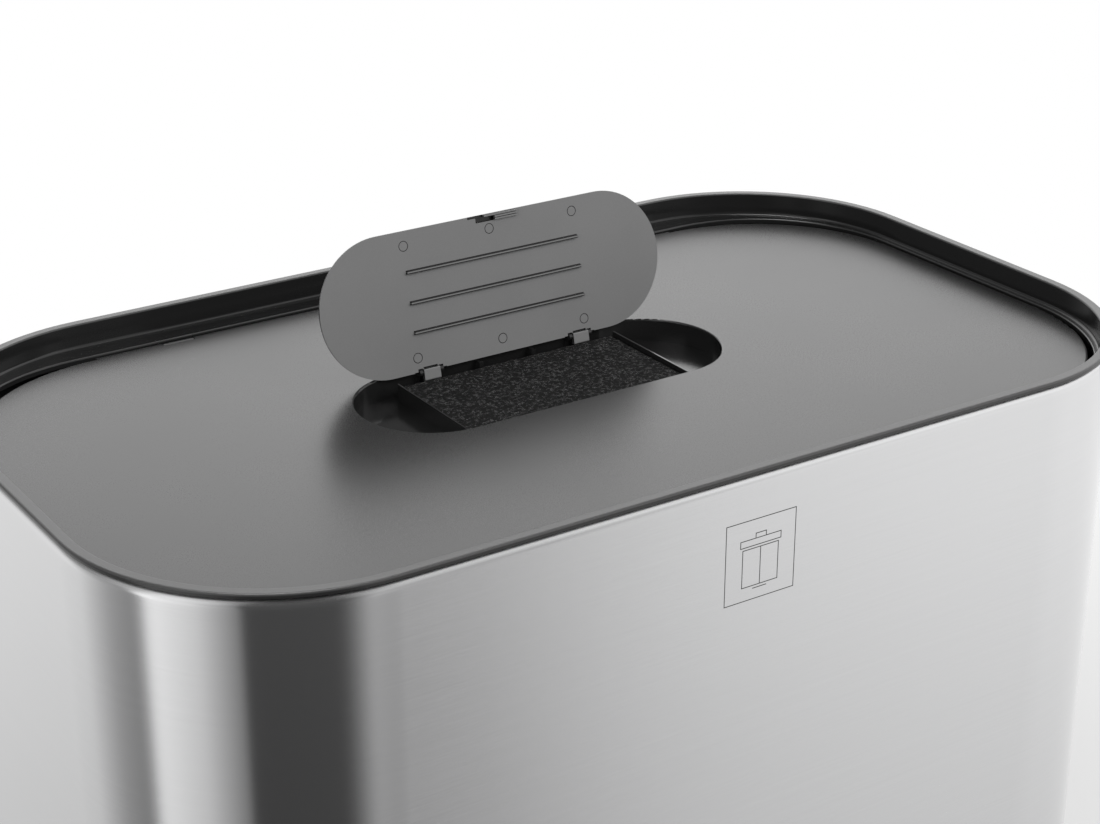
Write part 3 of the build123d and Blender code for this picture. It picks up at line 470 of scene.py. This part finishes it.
def flap_finish():
    """Grained plastic inside, its pale tone a painted sheen; smooth and dark at its back, with
    painted shade in its recesses, on the sides of its raised parts and along its ribs.
    """
    joints = {joint["name"]: joint for joint in frame["record"]["behaviour"]["joints"]}
    _, pivot_y, pivot_z = joints["flap_close"]["pos_m"]
    finish = material("flap_plastic")
    place = finish.place()
    x, y, z = finish.axes(place)
    y = (y - pivot_y) * MM_IN_METRE
    z = (z - pivot_z) * MM_IN_METRE
    along = z * math.sin(FLAP_ANGLE) - y * math.cos(FLAP_ANGLE)
    proud = 0.0 - y * math.sin(FLAP_ANGLE) - z * math.cos(FLAP_ANGLE) - FLAP_INNER_FACE
    # The back is the flap's own dark plastic; recesses that sink behind the inner face take the
    # same dark tone as painted shade
    inside = proud.step(*FLAP_BACK_END)
    # Painted shade on the sides of the ribs and other raised parts, and in lines beside the ribs
    edges = proud.band(FLAP_SIDE_SHADE_RISE, FLAP_SIDE_SHADE_FALL)
    on_rib = 1.0 - abs(x * MM_IN_METRE - FLAP_RIB_MIDDLE).step(*FLAP_RIB_END)
    for rib in FLAP_RIBS:
        edges = edges.larger(abs(along - rib).band(RIB_SHADE_RISE, RIB_SHADE_FALL) * on_rib)
    grained_unshaded = inside * (1.0 - edges)
    cloud = finish.noise(place, scale=16.0, detail=3.0)
    grain = finish.noise(place, scale=2100.0, detail=3.0, roughness=0.7)
    # The grain is real; the pale tone of the grained face is a painted sheen
    grain_and_sheen = finish.blend(cloud * 0.5 + grain * 0.5, *FLAP_GRAIN_AND_SHEEN)
    finish.constants(Base_Color=finish.blend(grained_unshaded, FLAP_BACK_AND_SHADE, grain_and_sheen),
                     Roughness=varied(0.26 + 0.16 * grained_unshaded, (0.05, cloud)))
    finish.bump(grain * (0.3 + grained_unshaded), distance=0.00006, strength=0.6)
    return finish.close()


# Finish of each slot, and of the pieces that differ from their slot
FINISHES = {
    "brushed_steel": brushed_steel_finish(),
    "zinc_steel": plated_steel_finish(),
    "damper_metal": damper_paint_finish(),
    **{name: moulded_finish(name, *values) for name, values in MOULDED.items()},
    "filter_foam": foam_finish(),
}
PIECE_FINISHES = {
    "lid_panel": zoned_finish("lid_plastic", GRAINED, POLISHED, [WELL_ZONE]),
    # The collar gets the painted highlight along the top of its lip
    "top_frame": zoned_finish("collar_plastic", POLISHED_COLLAR, GRAINED, EAR_ZONES, paint_lip_highlight=1.0),
    "filter_flap": flap_finish(),
}


def dress_frame():
    """Gives every CAD piece its finish."""
    slots = {row["node"]: row["material_slot"] for row in frame["record"]["subparts"]}
    for name, obj in frame["nodes"].items():
        finish = PIECE_FINISHES.get(name, FINISHES[slots[name]])
        for slot in obj.material_slots:
            slot.material = finish


def as_object(name, shape):
    mesh = bpy.data.meshes.new(name)
    shape.to_mesh(mesh)
    shape.free()
    obj = bpy.data.objects.new(name, mesh)
    bpy.context.scene.collection.objects.link(obj)
    return obj


def shade_smooth(mesh):
    mesh.polygons.foreach_set("use_smooth", [True] * len(mesh.polygons))


# Filter pad: a block of loose foam with rounded edges and an uneven face, in metres, with the
# scale and share of each layer of its lumps
PAD_STEP = 0.0012
PAD_ROUND = 0.0018
PAD_LUMP = 0.00045
PAD_LAYERS = [(900.0, 0.6), (300.0, 0.4)]
# An edge runs along an axis if its direction has at least this much of it
ALONG_AXIS = 0.99


def build_pad():
    low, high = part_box("filter_pad")
    middle = (low + high) / 2
    half = (high - low) / 2
    shape = bmesh.new()
    bmesh.ops.create_cube(shape, size=2.0)
    for axis in range(3):
        along = [e for e in shape.edges
                 if abs((e.verts[0].co - e.verts[1].co).normalized()[axis]) > ALONG_AXIS]
        cuts = round(2 * half[axis] / PAD_STEP) - 1
        bmesh.ops.subdivide_edges(shape, edges=along, cuts=cuts, use_grid_fill=True)
    for vert in shape.verts:
        point = Vector([vert.co[i] * half[i] for i in range(3)])
        core = Vector([max(-half[i] + PAD_ROUND, min(half[i] - PAD_ROUND, point[i]))
                       for i in range(3)])
        out = point - core
        point = core + out.normalized() * min(out.length, PAD_ROUND)
        lump = sum(noise.noise(point * scale) * share for scale, share in PAD_LAYERS)
        point -= out.normalized() * PAD_LUMP * (0.5 + lump)
        vert.co = middle + point
    bmesh.ops.recalc_face_normals(shape, faces=shape.faces)
    pad = as_object("filter_foam_pad", shape)
    shade_smooth(pad.data)
    pad.data.materials.append(FINISHES["filter_foam"])
    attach(pad, "lid")
    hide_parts("filter_pad")


# Steel shell: the CAD piece again with a finer mesh, so that its rolled edge and corners shine
# evenly. Sizes in metres
SHELL_CORNER = 0.0922
SHELL_WALL = 0.0008
CORNER_STEPS = 48
ROLL_RADIUS = 0.004
ROLL_REACH = 0.0022
ROLL_STEPS = 12
# Narrow faces beside each bend keep the flat walls' shading flat
BEND_GUARD = 0.0015
# Opening for the pedal in front, seam at the back, and how far what cuts them passes the sheet
OPENING_HALF = 0.046
OPENING_TOP = 0.066
OPENING_ROUND = 0.011
OPENING_STEPS = 12
SEAM_HALF = 0.0003
SEAM_DEPTH = 0.00025
CUTTER_REACH = 0.005
SHARP_ANGLE = math.radians(30)


def swing(start, sweep, steps):
    """Angles in even steps."""
    return [start + sweep * i / steps for i in range(steps + 1)]


def guard_column(column, side):
    """The place just before or after a bend, with the same outward direction."""
    place, out = column
    return place + side * BEND_GUARD * Vector((-out.y, out.x)), out


def shell_columns(half_x, half_y, middle_y):
    """Places round the outline, each with its outward direction."""
    columns = []
    for corner, (side_x, side_y) in enumerate(((1, -1), (1, 1), (-1, 1), (-1, -1))):
        centre = Vector((side_x * (half_x - SHELL_CORNER),
                         middle_y + side_y * (half_y - SHELL_CORNER)))
        arc = []
        for turn in swing(QUARTER_TURN * (corner - 1), QUARTER_TURN, CORNER_STEPS):
            out = Vector((math.cos(turn), math.sin(turn)))
            arc.append((centre + SHELL_CORNER * out, out))
        columns += [guard_column(arc[0], -1), *arc, guard_column(arc[-1], 1)]
    return columns


def shell_rows(bottom, roll_height):
    """Distance in from the outline and height of each row, up the outside and down the inside."""
    arcs = []
    for radius in (ROLL_RADIUS, ROLL_RADIUS - SHELL_WALL):
        end = math.acos((ROLL_RADIUS - ROLL_REACH) / radius)
        arcs.append([(ROLL_RADIUS - radius * math.cos(turn), roll_height + radius * math.sin(turn))
                     for turn in swing(0, end, ROLL_STEPS)])
    guard_height = roll_height - BEND_GUARD
    return [(0.0, bottom), (0.0, guard_height), *arcs[0], *reversed(arcs[1]),
            (SHELL_WALL, guard_height), (SHELL_WALL, bottom)]


def build_sheet(low, high, roll_height):
    """The sheet all round, before anything is cut out of it."""
    middle = (low + high) / 2
    half = (high - low) / 2
    rows = shell_rows(low[2], roll_height)
    shape = bmesh.new()
    grid = [[shape.verts.new((*(place - out * inset), z)) for inset, z in rows]
            for place, out in shell_columns(half[0], half[1], middle[1])]
    for i, column in enumerate(grid):
        following = grid[(i + 1) % len(grid)]
        for j in range(len(rows)):
            k = (j + 1) % len(rows)
            shape.faces.new((column[j], following[j], following[k], column[k]))
    bmesh.ops.recalc_face_normals(shape, faces=shape.faces)
    return as_object("steel_shell", shape)


def opening_outline(bottom):
    """Outline of the pedal's opening in X and Z."""
    outline = [(OPENING_HALF, bottom), (-OPENING_HALF, bottom)]
    for side, start in ((-1, 2 * QUARTER_TURN), (1, QUARTER_TURN)):
        outline += [(side * (OPENING_HALF - OPENING_ROUND) + OPENING_ROUND * math.cos(turn),
                     OPENING_TOP - OPENING_ROUND + OPENING_ROUND * math.sin(turn))
                    for turn in swing(start, -QUARTER_TURN, OPENING_STEPS)]
    return outline


def seam_outline(bottom, top):
    """Outline of the seam in X and Z."""
    return [(-SEAM_HALF, bottom), (SEAM_HALF, bottom), (SEAM_HALF, top), (-SEAM_HALF, top)]


def prism_along_y(name, outline, start, end):
    """Closed block with an outline in X and Z."""
    shape = bmesh.new()
    rings = [[shape.verts.new((x, y, z)) for x, z in outline] for y in (start, end)]
    for ring in rings:
        shape.faces.new(ring)
    count = len(outline)
    for i in range(count):
        j = (i + 1) % count
        shape.faces.new((rings[0][i], rings[0][j], rings[1][j], rings[1][i]))
    bmesh.ops.recalc_face_normals(shape, faces=shape.faces)
    return as_object(name, shape)


def cut_out(obj, cutters):
    """Cuts the blocks out of an object's mesh and removes them."""
    for cutter in cutters:
        cut = obj.modifiers.new(cutter.name, "BOOLEAN")
        cut.operation = "DIFFERENCE"
        cut.solver = "EXACT"
        cut.object = cutter
    bpy.context.view_layer.update()
    evaluated = obj.evaluated_get(bpy.context.evaluated_depsgraph_get())
    mesh = bpy.data.meshes.new_from_object(evaluated)
    obj.modifiers.clear()
    obj.data = mesh
    for cutter in cutters:
        bpy.data.objects.remove(cutter)


def build_steel_shell():
    low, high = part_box("body_shell")
    front = low[1]
    back = high[1]
    below = low[2] - CUTTER_REACH
    roll_height = high[2] - ROLL_RADIUS * math.sin(math.acos(1 - ROLL_REACH / ROLL_RADIUS))
    shell = build_sheet(low, high, roll_height)
    cut_out(shell, [prism_along_y("pedal_cut", opening_outline(below), front - CUTTER_REACH,
                                  front + CUTTER_REACH),
                    prism_along_y("seam_cut", seam_outline(below, roll_height),
                                  back - SEAM_DEPTH, back + CUTTER_REACH)])
    shade_smooth(shell.data)
    shell.data.set_sharp_from_angle(angle=SHARP_ANGLE)
    shell.data.materials.clear()
    shell.data.materials.append(FINISHES["brushed_steel"])
    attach(shell, "bin")
    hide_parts("body_shell")


def table_ramp(finish, place, table, span):
    """Brightness from a table over a span round zero, as a part of the ramps' top."""
    stops = [(at / span + 0.5, level / RAMP_TOP) for at, level in table]
    return finish.add("ValToRGB", {"stops": stops}, place).out()


def seen_softbox(x, y, z, azimuth, height, even, faded, brightness):
    """Brightness of a soft box towards each direction."""
    azimuth = math.radians(azimuth)
    height = math.radians(height)
    towards = (x * (-math.sin(azimuth) * math.cos(height))
               + y * (-math.cos(azimuth) * math.cos(height))
               + z * math.sin(height))
    return brightness * towards.step(math.cos(math.radians(faded)), math.cos(math.radians(even)))


def build_world():
    world = bpy.data.worlds.new("studio")
    bpy.context.scene.world = world
    world.cycles.sampling_method = "NONE"
    finish = Finish(world, "Background", Strength=1.0)
    x, y, z = finish.axes(finish.add("TexCoord").out("Generated"))
    turn = x.maths("ARCTAN2", 0.0 - x, 0.0 - y) / (2 * math.pi) + 0.5
    floor, walls = [table_ramp(finish, turn, table, span=360) * RAMP_TOP
                    for table in (FLOOR_AROUND, WALLS_AROUND)]
    upward = table_ramp(finish, z / 2 + 0.5, UPWARD, span=2)
    seen = (floor + (walls - floor) * z.step(*HORIZON)) * upward * RAMP_TOP
    for softbox in SOFTBOXES_SEEN:
        seen = seen + seen_softbox(x, y, z, *softbox)
    light = finish.add("LightPath")
    level = finish.blend(light.out("Is Glossy Ray"), AMBIENT_LEVEL, seen)
    finish.constants(Color=finish.blend(light.out("Is Camera Ray"), level, BACKDROP_LEVEL))
    finish.close()


def build_floor():
    bpy.ops.mesh.primitive_circle_add(vertices=FLOOR_SIDES, radius=FLOOR_RADIUS, fill_type="NGON")
    floor = bpy.context.object
    floor.name = "floor"
    finish = Finish(bpy.data.materials.new("floor"), "MixShader")
    x, y, _ = finish.axes(finish.place())
    distance = (x * x + y * y) ** 0.5
    light = finish.add("LightPath")
    fade = light.out("Is Camera Ray") * distance.step(*FLOOR_FADE)
    hidden = light.out("Is Glossy Ray").larger(fade)
    surface = finish.add("BsdfDiffuse", None, Color=FLOOR_COLOUR)
    through = finish.add("BsdfTransparent")
    for socket, value in zip(finish.shader.node.inputs, (hidden, surface.out(), through.out())):
        finish.join(socket, value)
    floor.data.materials.append(finish.close())


def add_softbox(name, place, size, power):
    lamp = bpy.data.lights.new(name, "AREA")
    lamp.shape = "DISK"
    lamp.size = size
    lamp.energy = power
    obj = bpy.data.objects.new(name, lamp)
    obj.location = place
    facing = Vector(SOFTBOX_TARGET) - Vector(place)
    obj.rotation_euler = facing.to_track_quat("-Z", "Y").to_euler()
    obj.visible_glossy = False
    bpy.context.scene.collection.objects.link(obj)


def add_camera():
    camera = bpy.data.cameras.new("camera")
    camera.sensor_width = SENSOR_WIDTH
    camera.lens = FOCAL_PIXELS / FRAME_WIDTH * SENSOR_WIDTH
    obj = bpy.data.objects.new("camera", camera)
    obj.location = CAMERA_PLACE
    obj.rotation_euler = Euler((math.radians(90 - CAMERA_PITCH), 0, math.radians(-CAMERA_YAW)))
    bpy.context.scene.collection.objects.link(obj)
    bpy.context.scene.camera = obj


dress_frame()
build_steel_shell()
build_pad()
build_world()
build_floor()
for softbox_name, softbox_values in SOFTBOXES.items():
    add_softbox(softbox_name, *softbox_values)
add_camera()
bpy.context.scene.view_settings.view_transform = "Standard"
